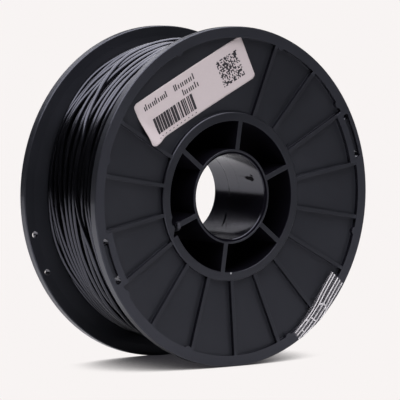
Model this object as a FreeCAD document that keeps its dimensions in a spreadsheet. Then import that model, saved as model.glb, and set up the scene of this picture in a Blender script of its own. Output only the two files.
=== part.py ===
# Spool of 3D-printer filament, standing on the rims of its two flanges.
# Frame: origin on the axis at mid-width, Y along the axis with the labelled flange at -Y,
# Z up, millimetres. Angles run from +X towards +Z, as seen from the labelled flange.
import FreeCAD
import Part
import Sketcher
import math
import os

doc = FreeCAD.newDocument("filament_spool")
sheet = doc.addObject("Spreadsheet::Sheet", "sizes")

SIZES = [
    ("flange_radius", 101.5, "outside radius of both flanges"),
    ("spool_width", 78.7, "width over the two rims"),
    ("rim_width", 6.5, "radial width of the raised rim"),
    ("panel_wall", 2.6, "thickness of the flange panel"),
    ("panel_recess", 2.6, "panel surface below the rim and ribs"),
    ("dish_depth", 3.35, "hub ring face below the rim face"),
    ("edge_break", 0.5, "chamfer on the outer moulded edges"),
    ("drum_radius", 48.0, "outside radius of the drum"),
    ("ring_reach", 2.5, "hub ring beyond the outside of the drum"),
    ("drum_wall", 3.0, "wall of the drum"),
    ("bore_radius", 25.5, "radius of the spindle bore"),
    ("tube_wall", 3.0, "wall of the bore tube"),
    ("tube_half", 26.0, "length of each half of the bore tube"),
    ("bore_chamfer", 1.6, "lead-in at each mouth of the bore"),
    ("spoke_width", 3.0, "thickness of a spoke"),
    ("spoke_angle", 21.5, "angle of the first spoke"),
    ("spoke_count", 6, "number of spokes"),
    ("rib_width", 2.2, "thickness of a rib"),
    ("rib_angle", 150.5, "first rib after the label sector"),
    ("rib_pitch", 20.0, "angle from rib to rib"),
    ("rib_count", 15, "number of ribs on a flange"),
    ("rib_drop", 0.15, "rib edge below the rim and ring faces that it joins"),
    ("pad_reach", 4.2, "widening of the rim at a slot"),
    ("slot_inset", 4.7, "middle of a filament slot, in from the flange's edge"),
    ("slot_width", 3.4, "width of a filament slot"),
    ("slot_depth", 3.0, "depth of a filament slot"),
    ("slot_angle", 20.9, "middle of the first filament slot"),
    ("slot_span", 14.6, "angle between the holes of a slot"),
    ("slot_hole", 4.0, "diameter of the hole at each end of a slot"),
    ("boss_radius", 2.5, "radius of the ejector bosses on the rim"),
    ("boss_inset", 1.0, "middle of a boss, out from the rim's inner edge"),
    ("window_angle", 200.0, "middle of the window in the drum"),
    ("window_span", 16.0, "angle that the window covers"),
    ("window_depth", 10.65, "depth of the window below the hub ring face"),
    ("window_reach", 1.0, "cut of the window outside the drum"),
    ("strand", 2.85, "diameter of the filament"),
    ("winding_inset", 13.3, "mean outside of the winding, in from the flange's edge"),
    ("winding_oval", 3.2, "how much the winding is taller and narrower than its mean"),
    ("winding_lift", 0.8, "middle of the oval winding above the axis"),
    ("flange_gap", 0.3, "clearance between winding and flange"),
    ("drum_gap", 0.1, "clearance between winding and drum"),
    ("spoke_gap", 0.3, "clearance of the filament's end in front of the spoke"),
    ("end_inset", 4.7, "filament's end, in from the inside of the drum"),
    ("end_reach", 3.6, "length of the end beyond the spoke's middle"),
    ("label_length", 88.0, "length of the paper label"),
    ("label_width", 28.0, "width of the paper label"),
    ("label_corner", 3.0, "corner radius of the paper label"),
    ("label_paper", 0.2, "thickness of the paper label"),
    ("label_inset", 26.0, "label's middle, in from the rim's inner edge"),
    ("label_angle", 113.1, "angle of the label's middle"),
    ("label_tilt", 27.35, "slope of the label's long side"),
    ("label_gap", 0.1, "clearance between label and rib"),
    ("tape_length", 46.0, "length of the tape strip"),
    ("tape_width", 10.0, "width of the tape strip"),
    ("tape_film", 0.15, "thickness of the tape strip"),
    ("tape_inset", 6.4, "strip's middle, in from the flange's edge"),
    ("tape_angle", 312.7, "angle of the strip's middle"),
    ("tape_tilt", 50.5, "slope of the strip's long side"),
]
BOSS_ANGLES = (34.1, 68.6, 115.5, 165.2)

for row, (alias, value, note) in enumerate(SIZES, start=1):
    sheet.set(f"A{row}", note)
    sheet.set(f"B{row}", str(value))
    sheet.setAlias(f"B{row}", alias)
doc.recompute()


def size(expression):
    """The number that an expression on the sheet gives."""
    return float(sheet.evalExpression(expression))


# Places that several pieces share, as expressions on the sheet.
RIM_INSIDE = "(sizes.flange_radius - sizes.rim_width)"
RIM_MIDDLE = "(sizes.flange_radius - sizes.rim_width / 2)"
RIM_BACK = "(sizes.panel_recess + sizes.panel_wall)"
PANEL_MIDDLE = "(sizes.panel_recess + sizes.panel_wall / 2)"
HUB_RING = "(sizes.drum_radius + sizes.ring_reach)"
DRUM_INSIDE = "(sizes.drum_radius - sizes.drum_wall)"
TUBE_OUTSIDE = "(sizes.bore_radius + sizes.tube_wall)"
FRONT_SEAM = "(sizes.dish_depth + sizes.tube_half)"
REAR_SEAM = "(sizes.spool_width - sizes.dish_depth - sizes.tube_half)"
REAR_HUB = "(sizes.spool_width - sizes.dish_depth - 2 * sizes.tube_half)"
SLOPE = f"(sizes.dish_depth / ({RIM_INSIDE} - {HUB_RING}))"
SLOT_MIDDLE = "(sizes.flange_radius - sizes.slot_inset)"
BOSS_MIDDLE = f"({RIM_INSIDE} + sizes.boss_inset)"
WINDING_TALL = "(sizes.flange_radius - sizes.winding_inset + sizes.winding_oval)"
WINDING_NARROW = "(sizes.flange_radius - sizes.winding_inset - sizes.winding_oval)"
END_PLACE = f"({DRUM_INSIDE} - sizes.end_inset)"


def origin_plane(body, role):
    """One of the body's own origin planes."""
    return next(item for item in body.Origin.OriginFeatures if item.Role == role)


def new_body(name):
    body = doc.addObject("PartDesign::Body", name)
    body.Label = name
    return body


def new_sketch(body, name, role="XY_Plane", angle=None):
    """Sketch on an origin plane of the body, turned about the spool's axis by an angle."""
    sketch = body.newObject("Sketcher::SketchObject", name)
    sketch.AttachmentSupport = (origin_plane(body, role), [""])
    sketch.MapMode = "FlatFace"
    if angle:
        sketch.AttachmentOffset = FreeCAD.Placement(
            FreeCAD.Vector(), FreeCAD.Rotation(FreeCAD.Vector(0, -1, 0), 1))
        sketch.setExpression("AttachmentOffset.Rotation.Angle", angle)
    return sketch


def pin_point(sketch, geometry, point, across, along):
    """Fixes one point of a sketch at two expressions; a zero puts it on the sketch's axis."""
    if across == "0":
        sketch.addConstraint(Sketcher.Constraint("PointOnObject", geometry, point, -2))
    else:
        index = sketch.addConstraint(
            Sketcher.Constraint("DistanceX", -1, 1, geometry, point, size(across)))
        sketch.setExpression(f"Constraints[{index}]", across)
    if along == "0":
        sketch.addConstraint(Sketcher.Constraint("PointOnObject", geometry, point, -1))
    else:
        index = sketch.addConstraint(
            Sketcher.Constraint("DistanceY", -1, 1, geometry, point, size(along)))
        sketch.setExpression(f"Constraints[{index}]", along)


def draw_outline(sketch, corners):
    """Closed outline of straight lines through corners given as pairs of expressions."""
    places = [FreeCAD.Vector(size(across), size(along), 0) for across, along in corners]
    count = len(places)
    for number, place in enumerate(places):
        sketch.addGeometry(Part.LineSegment(place, places[(number + 1) % count]), False)
    for number in range(count):
        follower = (number + 1) % count
        sketch.addConstraint(Sketcher.Constraint("Coincident", number, 2, follower, 1))
    for number, (across, along) in enumerate(corners):
        pin_point(sketch, number, 1, across, along)


def draw_circle(sketch, across, along, radius):
    """Circle with its centre and radius given as expressions."""
    centre = FreeCAD.Vector(size(across), size(along), 0)
    circle = Part.Circle(centre, FreeCAD.Vector(0, 0, 1), size(radius))
    number = sketch.addGeometry(circle, False)
    pin_point(sketch, number, 3, across, along)
    index = sketch.addConstraint(Sketcher.Constraint("Radius", number, size(radius)))
    sketch.setExpression(f"Constraints[{index}]", radius)


def turn_profile(body, kind, name, sketch, angle=None):
    """Revolution or Groove about the spool's axis, whole or evenly about the sketch."""
    feature = body.newObject(kind, name)
    feature.Profile = sketch
    feature.ReferenceAxis = (sketch, ["V_Axis"])
    feature.Midplane = True
    feature.Angle = 360
    if angle:
        feature.setExpression("Angle", angle)
    doc.recompute()
    return feature


def pad_evenly(body, name, sketch, length):
    """Pad to both sides of its sketch."""
    feature = body.newObject("PartDesign::Pad", name)
    feature.Profile = sketch
    feature.SideType = "Symmetric"
    feature.setExpression("Length", length)
    doc.recompute()
    return feature


def repeat_round(body, name, features, count, step, backwards=False):
    """Copies of features about the spool's axis, one every step."""
    pattern = body.newObject("PartDesign::PolarPattern", name)
    pattern.Originals = features
    pattern.Axis = (features[0].Profile[0], ["V_Axis"])
    pattern.Mode = "Spacing"
    pattern.Reversed = backwards
    pattern.setExpression("Offset", step)
    pattern.setExpression("Occurrences", count)
    body.Tip = pattern
    doc.recompute()
    return pattern


def add_shell(body, seam):
    """Rim, dished panel, hub ring and stretch of drum, as one turned section.

    Depth runs inwards from the rim face, which is y = 0 of the half's own body.
    """
    section = new_sketch(body, "shell_section")
    draw_outline(section, [
        (RIM_INSIDE, "sizes.panel_recess"),
        (RIM_INSIDE, "0"),
        ("sizes.flange_radius - sizes.edge_break", "0"),
        ("sizes.flange_radius", "sizes.edge_break"),
        ("sizes.flange_radius", f"{RIM_BACK} - sizes.edge_break"),
        ("sizes.flange_radius - sizes.edge_break", RIM_BACK),
        (RIM_INSIDE, RIM_BACK),
        (HUB_RING, f"sizes.dish_depth + {RIM_BACK}"),
        ("sizes.drum_radius", f"sizes.dish_depth + {RIM_BACK}"),
        ("sizes.drum_radius", seam),
        (DRUM_INSIDE, seam),
        (DRUM_INSIDE, "sizes.dish_depth + sizes.edge_break"),
        (f"{DRUM_INSIDE} + sizes.edge_break", "sizes.dish_depth"),
        (f"{HUB_RING} - sizes.edge_break", "sizes.dish_depth"),
        (HUB_RING, "sizes.dish_depth + sizes.edge_break"),
        (HUB_RING, "sizes.dish_depth + sizes.panel_recess"),
    ])
    turn_profile(body, "PartDesign::Revolution", "shell", section)


def add_ribs(body, turn):
    """Radial ribs, nearly as high as the rim at one end and the hub ring at the other."""
    ring_middle = f"(({DRUM_INSIDE} + {HUB_RING}) / 2)"
    side = new_sketch(body, "rib_side", angle=f"{turn} * sizes.rib_angle")
    draw_outline(side, [
        (ring_middle, "sizes.dish_depth + sizes.rib_drop"),
        (HUB_RING, "sizes.dish_depth + sizes.rib_drop"),
        (RIM_INSIDE, "sizes.rib_drop"),
        (RIM_MIDDLE, "sizes.rib_drop"),
        (RIM_MIDDLE, PANEL_MIDDLE),
        (ring_middle, f"sizes.dish_depth + {PANEL_MIDDLE}"),
    ])
    rib = pad_evenly(body, "rib", side, "sizes.rib_width")
    repeat_round(body, "ribs", [rib], "sizes.rib_count", "sizes.rib_pitch", turn > 0)


def add_slots(body, turn):
    """Two clips for the filament's end: a widened rim, an arc slot and a hole at each end."""
    middle = f"{turn} * sizes.slot_angle"
    pad_section = new_sketch(body, "pad_section", angle=middle)
    pad_inside = f"{RIM_INSIDE} - sizes.pad_reach"
    draw_outline(pad_section, [
        (pad_inside, "0"),
        (RIM_MIDDLE, "0"),
        (RIM_MIDDLE, PANEL_MIDDLE),
        (pad_inside, PANEL_MIDDLE),
    ])
    pad = turn_profile(body, "PartDesign::Revolution", "slot_pad", pad_section, "sizes.rib_pitch")
    repeat_round(body, "slot_pads", [pad], "2", "180")

    slot_section = new_sketch(body, "slot_section", angle=middle)
    inside = f"{SLOT_MIDDLE} - sizes.slot_width / 2"
    outside = f"{SLOT_MIDDLE} + sizes.slot_width / 2"
    draw_outline(slot_section, [
        (inside, "-sizes.edge_break"),
        (outside, "-sizes.edge_break"),
        (outside, "sizes.slot_depth"),
        (inside, "sizes.slot_depth"),
    ])
    slot = turn_profile(body, "PartDesign::Groove", "slot", slot_section, "sizes.slot_span")
    repeat_round(body, "slots", [slot], "2", "180")

    holes = new_sketch(body, "slot_holes", role="XZ_Plane")
    for half_turn in (0, 180):
        for side in (-0.5, 0.5):
            angle = f"({turn} * (sizes.slot_angle + {side} * sizes.slot_span + {half_turn}) * 1 deg)"
            draw_circle(holes, f"{SLOT_MIDDLE} * cos({angle})",
                        f"{SLOT_MIDDLE} * sin({angle})", "sizes.slot_hole / 2")
    pocket = body.newObject("PartDesign::Pocket", "slot_hole_cuts")
    pocket.Profile = holes
    pocket.Type = "ThroughAll"
    pocket.SideType = "Symmetric"
    body.Tip = pocket
    doc.recompute()


def add_bosses(body, turn):
    """Half-round bosses on the rim's inner edge, where the ejector pins push."""
    circles = new_sketch(body, "boss_circles", role="XZ_Plane")
    for half_turn in (0, 180):
        for place in BOSS_ANGLES:
            angle = f"({turn} * {place + half_turn} * 1 deg)"
            draw_circle(circles, f"{BOSS_MIDDLE} * cos({angle})",
                        f"{BOSS_MIDDLE} * sin({angle})", "sizes.boss_radius")
    pad = body.newObject("PartDesign::Pad", "bosses")
    pad.Profile = circles
    pad.Reversed = True
    pad.setExpression("Length", PANEL_MIDDLE)
    body.Tip = pad
    doc.recompute()


def cut_window(body, turn):
    """Window through the drum and into the hub ring, for the filament's inner end."""
    section = new_sketch(body, "window_section", angle=f"{turn} * sizes.window_angle")
    draw_outline(section, [
        (f"{DRUM_INSIDE} - sizes.edge_break", "sizes.edge_break"),
        ("sizes.drum_radius + sizes.window_reach", "sizes.edge_break"),
        ("sizes.drum_radius + sizes.window_reach", "sizes.dish_depth + sizes.window_depth"),
        (f"{DRUM_INSIDE} - sizes.edge_break", "sizes.dish_depth + sizes.window_depth"),
    ])
    cut = turn_profile(body, "PartDesign::Groove", "window", section, "sizes.window_span")
    body.Tip = cut


def add_hub(body, turn, mouth, seam):
    """Six spokes from the drum and the half tube that they carry, from mouth to seam."""
    side = new_sketch(body, "spoke_side", angle=f"{turn} * sizes.spoke_angle")
    draw_outline(side, [
        (f"{TUBE_OUTSIDE} - sizes.edge_break", mouth),
        (f"{DRUM_INSIDE} + sizes.edge_break", mouth),
        (f"{DRUM_INSIDE} + sizes.edge_break", seam),
        (f"{TUBE_OUTSIDE} - sizes.edge_break", seam),
    ])
    spoke = pad_evenly(body, "spoke", side, "sizes.spoke_width")
    repeat_round(body, "spokes", [spoke], "sizes.spoke_count", "360 / sizes.spoke_count")
    section = new_sketch(body, "tube_section")
    draw_outline(section, [
        ("sizes.bore_radius + sizes.bore_chamfer", mouth),
        (f"{TUBE_OUTSIDE} - sizes.edge_break", mouth),
        (TUBE_OUTSIDE, f"{mouth} + sizes.edge_break"),
        (TUBE_OUTSIDE, seam),
        ("sizes.bore_radius", seam),
        ("sizes.bore_radius", f"{mouth} + sizes.bore_chamfer"),
    ])
    tube = turn_profile(body, "PartDesign::Revolution", "half_tube", section)
    body.Tip = tube


def build_half(name, turn, mouth, seam):
    """One of the two mouldings; turn is -1 for the rear one, which is seen from behind."""
    body = new_body(name)
    add_shell(body, seam)
    add_ribs(body, turn)
    add_slots(body, turn)
    add_bosses(body, turn)
    add_hub(body, turn, mouth, seam)
    if turn > 0:
        cut_window(body, turn)
    return body


def stand_front(body):
    """Puts y = 0 of a body on the front rim face."""
    body.setExpression("Placement.Base.y", "-sizes.spool_width / 2")


front_half = build_half("front_half", 1, "sizes.dish_depth", FRONT_SEAM)
stand_front(front_half)

rear_half = build_half("rear_half", -1, REAR_HUB, REAR_SEAM)
rear_half.Placement = FreeCAD.Placement(
    FreeCAD.Vector(), FreeCAD.Rotation(FreeCAD.Vector(1, 0, 0), 180))
rear_half.setExpression("Placement.Base.y", "sizes.spool_width / 2")


def build_boolean(kind, name, base, tool):
    result = doc.addObject(kind, name)
    result.Base = base
    result.Tool = tool
    return result


def build_winding():
    """The wound filament as one oval ring between the flanges, clear of both."""
    body = new_body("winding_space")
    section = new_sketch(body, "winding_section")
    brim = f"({WINDING_TALL} + 2 * sizes.winding_lift)"
    flat = f"sizes.dish_depth + {RIM_BACK} + sizes.flange_gap"
    edge = f"{RIM_BACK} + {SLOPE} * ({RIM_INSIDE} - {brim}) + sizes.flange_gap"
    inside = "sizes.drum_radius + sizes.drum_gap"
    draw_outline(section, [
        (inside, flat),
        (HUB_RING, flat),
        (brim, edge),
        (brim, f"sizes.spool_width - ({edge})"),
        (HUB_RING, f"sizes.spool_width - ({flat})"),
        (inside, f"sizes.spool_width - ({flat})"),
    ])
    turn_profile(body, "PartDesign::Revolution", "winding", section)
    stand_front(body)
    oval = doc.addObject("Part::Ellipse", "winding_oval_edge")
    oval.setExpression("MajorRadius", WINDING_TALL)
    oval.setExpression("MinorRadius", WINDING_NARROW)
    oval.Placement = FreeCAD.Placement(
        FreeCAD.Vector(), FreeCAD.Rotation(FreeCAD.Vector(1, 1, 1), 240))
    oval.setExpression("Placement.Base.z", "sizes.winding_lift")
    outside = doc.addObject("Part::Extrusion", "winding_outside")
    outside.Base = oval
    outside.DirMode = "Custom"
    outside.Dir = FreeCAD.Vector(0, 1, 0)
    outside.Solid = True
    outside.Symmetric = True
    outside.setExpression("LengthFwd", "sizes.spool_width")
    return build_boolean("Part::Common", "winding_ring", body, outside)


def polar_point(radius, angle, depth):
    """A place given by its radius, its angle in degrees and its depth below the rim face."""
    return FreeCAD.Vector(radius * math.cos(math.radians(angle)),
                          depth - size("sizes.spool_width") / 2,
                          radius * math.sin(math.radians(angle)))


def rounded_path(points, share=0.45):
    """Straight runs joined by tangent arcs; share is the part of the shorter run in an arc."""
    edges = []
    start = points[0]
    for before, corner, after in zip(points, points[1:], points[2:]):
        back = before - corner
        ahead = after - corner
        reach = share * min(back.Length, ahead.Length)
        back.normalize()
        ahead.normalize()
        entry = corner + back * reach
        leave = corner + ahead * reach
        half_angle = back.getAngle(ahead) / 2
        radius = reach * math.tan(half_angle)
        middle = (back + ahead).normalize()
        bend = corner + middle * (reach / math.cos(half_angle) - radius)
        edges.append(Part.LineSegment(start, entry).toShape())
        edges.append(Part.Arc(entry, bend, leave).toShape())
        start = leave
    edges.append(Part.LineSegment(start, points[-1]).toShape())
    return Part.Wire(edges)


def build_filament_end():
    """The filament's inner end: through the window and up in front of the spoke."""
    strand = size("sizes.strand")
    spoke = size("sizes.spoke_angle") + 180
    window_end = size("sizes.window_angle + sizes.window_span / 2")
    spoke_face = size("sizes.dish_depth")
    end_radius = size(END_PLACE)
    front = spoke_face - strand / 2 - size("sizes.spoke_gap")
    beyond = math.degrees(size("sizes.end_reach") / end_radius)
    drum = size("sizes.drum_radius")
    inside = size(DRUM_INSIDE)
    edge_turn = math.degrees(strand / drum)
    window_floor = spoke_face + size("sizes.window_depth")
    points = [
        polar_point(drum + 2 * strand, window_end + edge_turn, window_floor - strand),
        polar_point(drum, window_end - 0.6 * edge_turn, window_floor - strand),
        polar_point(inside - strand / 2, window_end - edge_turn, window_floor - 2 * strand),
        polar_point(end_radius + strand / 4, window_end - 1.5 * edge_turn, front),
        polar_point(end_radius, spoke - beyond, front),
    ]
    path = rounded_path(points)
    start_way = points[1] - points[0]
    circle = Part.Wire(Part.Circle(points[0], start_way, strand / 2).toShape())
    feature = doc.addObject("Part::Feature", "filament_end")
    feature.Shape = path.makePipeShell([circle], True, False)
    print("filament end, length", round(path.Length, 2), "volume", round(feature.Shape.Volume, 2),
          "of", round(path.Length * math.pi * strand ** 2 / 4, 2))
    return feature


winding_ring = build_winding()
filament_end = build_filament_end()
filament_winding = build_boolean("Part::Fuse", "filament_winding", winding_ring, filament_end)
filament_winding.Label = "filament_winding"


def build_plate(name, length, width, thickness, radius, angle, tilt, depth):
    """Thin flat plate with its middle at a radius and angle, sloped by its tilt."""
    body = new_body(name)
    sketch = new_sketch(body, name + "_outline", role="XZ_Plane")
    draw_outline(sketch, [
        (f"-{length} / 2", f"-{width} / 2"),
        (f"{length} / 2", f"-{width} / 2"),
        (f"{length} / 2", f"{width} / 2"),
        (f"-{length} / 2", f"{width} / 2"),
    ])
    pad = body.newObject("PartDesign::Pad", name + "_pad")
    pad.Profile = sketch
    pad.setExpression("Length", thickness)
    body.Tip = pad
    body.Placement = FreeCAD.Placement(
        FreeCAD.Vector(), FreeCAD.Rotation(FreeCAD.Vector(0, -1, 0), 1))
    body.setExpression("Placement.Rotation.Angle", tilt)
    body.setExpression("Placement.Base.x", f"{radius} * cos({angle} * 1 deg)")
    body.setExpression("Placement.Base.z", f"{radius} * sin({angle} * 1 deg)")
    body.setExpression("Placement.Base.y", f"{depth} - sizes.spool_width / 2")
    doc.recompute()
    return body


def build_cone(name, depth):
    """The space in front of the dished panel, down to a depth at its outer edge."""
    cone = doc.addObject("Part::Cone", name)
    cone.setExpression("Radius1", RIM_INSIDE)
    cone.setExpression("Radius2", HUB_RING)
    cone.setExpression("Height", "sizes.dish_depth")
    cone.Placement = FreeCAD.Placement(
        FreeCAD.Vector(), FreeCAD.Rotation(FreeCAD.Vector(1, 0, 0), -90))
    cone.setExpression("Placement.Base.y", f"{depth} - sizes.spool_width / 2")
    return cone


def build_label():
    """Paper label on the panel; it follows the dish and stops beside the first rib."""
    stack = "sizes.dish_depth + sizes.panel_recess + sizes.panel_wall"
    prism = build_plate("label_prism", "sizes.label_length", "sizes.label_width", stack,
                        f"({RIM_INSIDE} - sizes.label_inset)", "sizes.label_angle",
                        "sizes.label_tilt", stack)
    pad = prism.Tip
    upright = [f"Edge{number}" for number, edge in enumerate(pad.Shape.Edges, start=1)
               if abs(edge.Length - size(stack)) < 1e-6]
    corners = prism.newObject("PartDesign::Fillet", "label_corners")
    corners.Base = (pad, upright)
    corners.setExpression("Radius", "sizes.label_corner")
    prism.Tip = corners
    under = build_cone("label_underside", "sizes.panel_recess")
    upper = build_cone("label_top", "sizes.panel_recess - sizes.label_paper")
    paper = build_boolean("Part::Cut", "label_paper_layer", under, upper)
    sheet_of_paper = build_boolean("Part::Common", "label_sheet", paper, prism)
    past_rib = doc.addObject("Part::Box", "past_rib")
    past_rib.setExpression("Length", "sizes.flange_radius")
    past_rib.setExpression("Width", "sizes.spool_width")
    past_rib.setExpression("Height", "sizes.label_width")
    past_rib.Placement = FreeCAD.Placement(
        FreeCAD.Vector(), FreeCAD.Rotation(FreeCAD.Vector(0, -1, 0), 1))
    past_rib.setExpression("Placement.Rotation.Angle", "sizes.rib_angle")
    side = "(sizes.rib_width / 2 + sizes.label_gap)"
    past_rib.setExpression("Placement.Base.x", f"{side} * sin(sizes.rib_angle * 1 deg)")
    past_rib.setExpression("Placement.Base.z", f"-{side} * cos(sizes.rib_angle * 1 deg)")
    past_rib.setExpression("Placement.Base.y", "-sizes.spool_width / 2")
    label = build_boolean("Part::Cut", "paper_label", sheet_of_paper, past_rib)
    label.Label = "paper_label"
    return label


def build_tape():
    """Strip of reinforced tape across the rim, trimmed where it meets the flange's edge."""
    film = build_plate("tape_film", "sizes.tape_length", "sizes.tape_width", "sizes.tape_film",
                       "(sizes.flange_radius - sizes.tape_inset)", "sizes.tape_angle",
                       "sizes.tape_tilt", "0")
    flange = doc.addObject("Part::Cylinder", "tape_trim")
    flange.setExpression("Radius", "sizes.flange_radius - sizes.edge_break")
    flange.setExpression("Height", "sizes.spool_width")
    flange.Placement = FreeCAD.Placement(
        FreeCAD.Vector(), FreeCAD.Rotation(FreeCAD.Vector(1, 0, 0), -90))
    flange.setExpression("Placement.Base.y", "-sizes.spool_width")
    tape = build_boolean("Part::Common", "tape_strip", film, flange)
    tape.Label = "tape_strip"
    return tape


pieces = [front_half, rear_half, filament_winding, build_label(), build_tape()]
doc.recompute()

for item in doc.Objects:
    if "Invalid" in item.State or "Error" in item.State:
        raise RuntimeError(f"{item.Name} failed: {item.State}")
for piece in pieces:
    if piece.Shape.isNull() or not piece.Shape.isValid():
        raise RuntimeError(f"{piece.Label} has no valid shape")

os.makedirs("parts", exist_ok=True)
for piece in pieces:
    piece.Shape.exportStep(f"parts/{piece.Label}.step")
    box = piece.Shape.BoundBox
    print(f"{piece.Label}: {len(piece.Shape.Solids)} solid, {piece.Shape.Volume:.1f} mm3, "
          f"x {box.XMin:.2f} to {box.XMax:.2f}, y {box.YMin:.2f} to {box.YMax:.2f}, "
          f"z {box.ZMin:.2f} to {box.ZMax:.2f}")
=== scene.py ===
import bpy
import math
import numpy as np
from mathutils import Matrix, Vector


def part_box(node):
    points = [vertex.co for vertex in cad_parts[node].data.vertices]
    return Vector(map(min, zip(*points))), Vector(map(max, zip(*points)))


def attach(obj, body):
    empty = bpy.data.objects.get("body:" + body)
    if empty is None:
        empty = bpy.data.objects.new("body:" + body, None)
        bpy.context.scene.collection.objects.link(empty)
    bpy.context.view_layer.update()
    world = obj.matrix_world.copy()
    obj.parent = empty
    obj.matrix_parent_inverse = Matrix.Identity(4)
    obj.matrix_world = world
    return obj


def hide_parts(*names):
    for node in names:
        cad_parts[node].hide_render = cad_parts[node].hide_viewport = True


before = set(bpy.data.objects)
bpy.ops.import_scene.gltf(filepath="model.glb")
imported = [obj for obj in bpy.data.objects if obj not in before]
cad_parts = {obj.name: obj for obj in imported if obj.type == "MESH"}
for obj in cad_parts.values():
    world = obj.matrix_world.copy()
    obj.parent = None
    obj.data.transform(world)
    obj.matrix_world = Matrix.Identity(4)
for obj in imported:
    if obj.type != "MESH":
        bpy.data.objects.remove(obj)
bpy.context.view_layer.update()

# The spool's two mouldings
# Charcoal polystyrene, injection moulded against a satin-finished tool in two halves that meet half way
# down the bore. It is nearly black and faintly bluish, with broad soft highlights and slightly rounded
# edges, and its steep walls, which slid off the tool, are glossier than its faces. Shade is painted on:
# the steep walls and the inside of the hub are coloured near black as painted shade.
MM = 0.001
SPOOL_CHARCOAL = "#17181b"
SPOOL_WORN = "#1d1e21"
RIM_WORN = "#202125"
# Painted shade: the near black that the steep walls and the inside of the hub are coloured with.
POCKET_PAINTED_SHADE = "#0c0b10"
SKIN_TINT = "#eaecff"
FLOW_MARK = 38.5 * MM
TOOL_SATIN = 0.385 * MM
SATIN_DEPTH = 0.04 * MM
BORE = 25.5 * MM
BORE_SKIN = 0.4 * MM
HUB_INSIDE = 47.0 * MM
SPOKE_SKIN = 3.5 * MM
FLANGE_EDGE = 101.1 * MM
HANDLED_SKIN = 0.3 * MM
PARTING_HALF = 0.35 * MM
PARTING_DEPTH = 0.15 * MM
EDGE_ROUND = 0.3 * MM
POLYSTYRENE_IOR = 1.5
# A noise's values lie mostly between these two, so a range over them gives the whole of a variation.
NOISE_LOW = 0.3
NOISE_HIGH = 0.7
# Roughness of the satin skin from its glossiest to its dullest cloud, and what handling adds to it.
SATIN_GLOSSY = 0.36
SATIN_DULL = 0.44
HANDLED_DULLING = 0.05
# Roughness of the kinds of surface that differ from the skin.
WALL_POLISH = 0.22
EDGE_POLISH = 0.3
POCKET_DULL = 0.9
BORE_POLISH = 0.16
# A surface is a steep wall where its normal's part along the axis is under the first value, and a face
# where it is over the second.
STEEP_FULL = 0.4
STEEP_NONE = 0.8
SHEEN_NEW = 0.5
SHEEN_RUBBED_OFF = 0.01
BORE_WEAR = 0.16
# Dull marks on the bore's wall: middle, direction, half length, half width, strength.
BORE_SCUFFS = (
    ((23.6, -22.4, 9.6), (0, 1, 0.06), 4.8, 1.5, 1.0),
    ((23.8, -24.6, 9.3), (0, 1, 0), 2.2, 1.9, 1.0),
    ((22.8, -25.6, 11.4), (0, 1, 0.5), 1.6, 0.7, 0.9),
    ((23.2, -16.0, 10.6), (0, 1, 0), 4.0, 0.4, 0.4),
    ((19.3, -3.5, -16.7), (-10.2, -6.5, -10.8), 7.0, 1.0, 0.9),
    ((16.0, -9.5, -19.8), (-8.0, -9.0, -6.5), 5.0, 0.5, 0.6),
)
# The squared distance from a scuff's middle, in its own half sizes, where it starts to fade and is gone.
SCUFF_FULL = 0.4
SCUFF_GONE = 1.1
front_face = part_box("front_half")[0].y
rear_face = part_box("rear_half")[1].y


def linear(code):
    """Linear RGBA from an sRGB hex code."""
    channels = [int(code[place:place + 2], 16) / 255 for place in (1, 3, 5)]
    return [c / 12.92 if c <= 0.04045 else ((c + 0.055) / 1.055) ** 2.4 for c in channels] + [1.0]


def add_node(tree, kind, inputs=None, **settings):
    """Adds a node; inputs maps a socket's name or number to a value or to another socket."""
    new = tree.nodes.new(kind)
    for name, value in settings.items():
        setattr(new, name, value)
    for name, value in (inputs or {}).items():
        if isinstance(value, bpy.types.NodeSocket):
            tree.links.new(value, new.inputs[name])
        else:
            new.inputs[name].default_value = value
    return new


def start_material(name):
    """A new material with its node tree emptied, ready for its own nodes."""
    material = bpy.data.materials.new(name)
    material.use_nodes = True
    material.node_tree.nodes.clear()
    return material, material.node_tree


def finish_material(tree, surface):
    """Links the last shader of a material to its output."""
    add_node(tree, "ShaderNodeOutputMaterial", {"Surface": surface.outputs[0]})


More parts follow.
